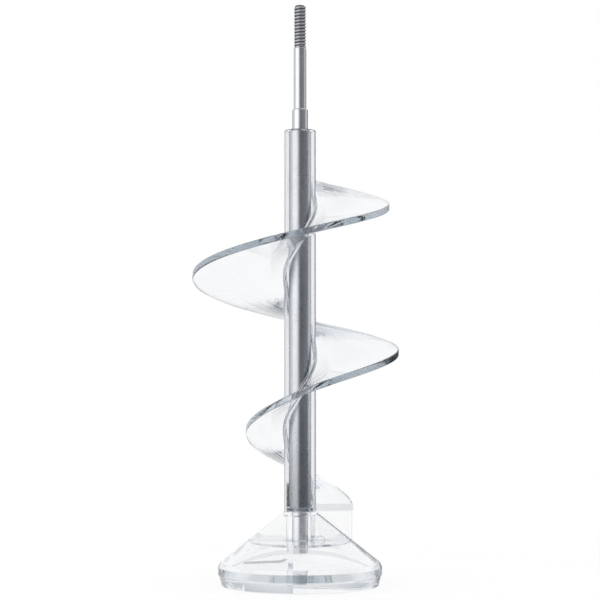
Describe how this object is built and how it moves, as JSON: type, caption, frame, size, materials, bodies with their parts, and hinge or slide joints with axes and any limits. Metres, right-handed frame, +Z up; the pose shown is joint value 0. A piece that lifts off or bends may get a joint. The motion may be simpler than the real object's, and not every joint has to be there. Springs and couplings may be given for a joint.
{
  "type": "screw conveyor auger",
  "caption": "Vertical screw auger: stepped steel shaft, clear helical flight on a tube that widens from a neck to a bowl, and a clear hollow round foot.",
  "frame": {"origin": "centre of the foot's hollow underside, on the shaft's axis, in the plane that the foot's ring stands on", "axes": "+Z up along the shaft's axis towards the threaded end; -Y is the side seen in the picture, +X is the side where the flight's lower end and its web stand"},
  "size_m": [0.1047, 0.1041, 0.294],
  "materials": {
    "shaft_steel": "turned and lightly brushed",
    "clear_screw": "clear moulded plastic, glossy",
    "clear_foot": "clear moulded plastic, glossy"
  },
  "bodies": {
    "root": {"drive_shaft": "shaft_steel", "auger_screw": "clear_screw", "foot": "clear_foot"}
  },
  "joints": []
}
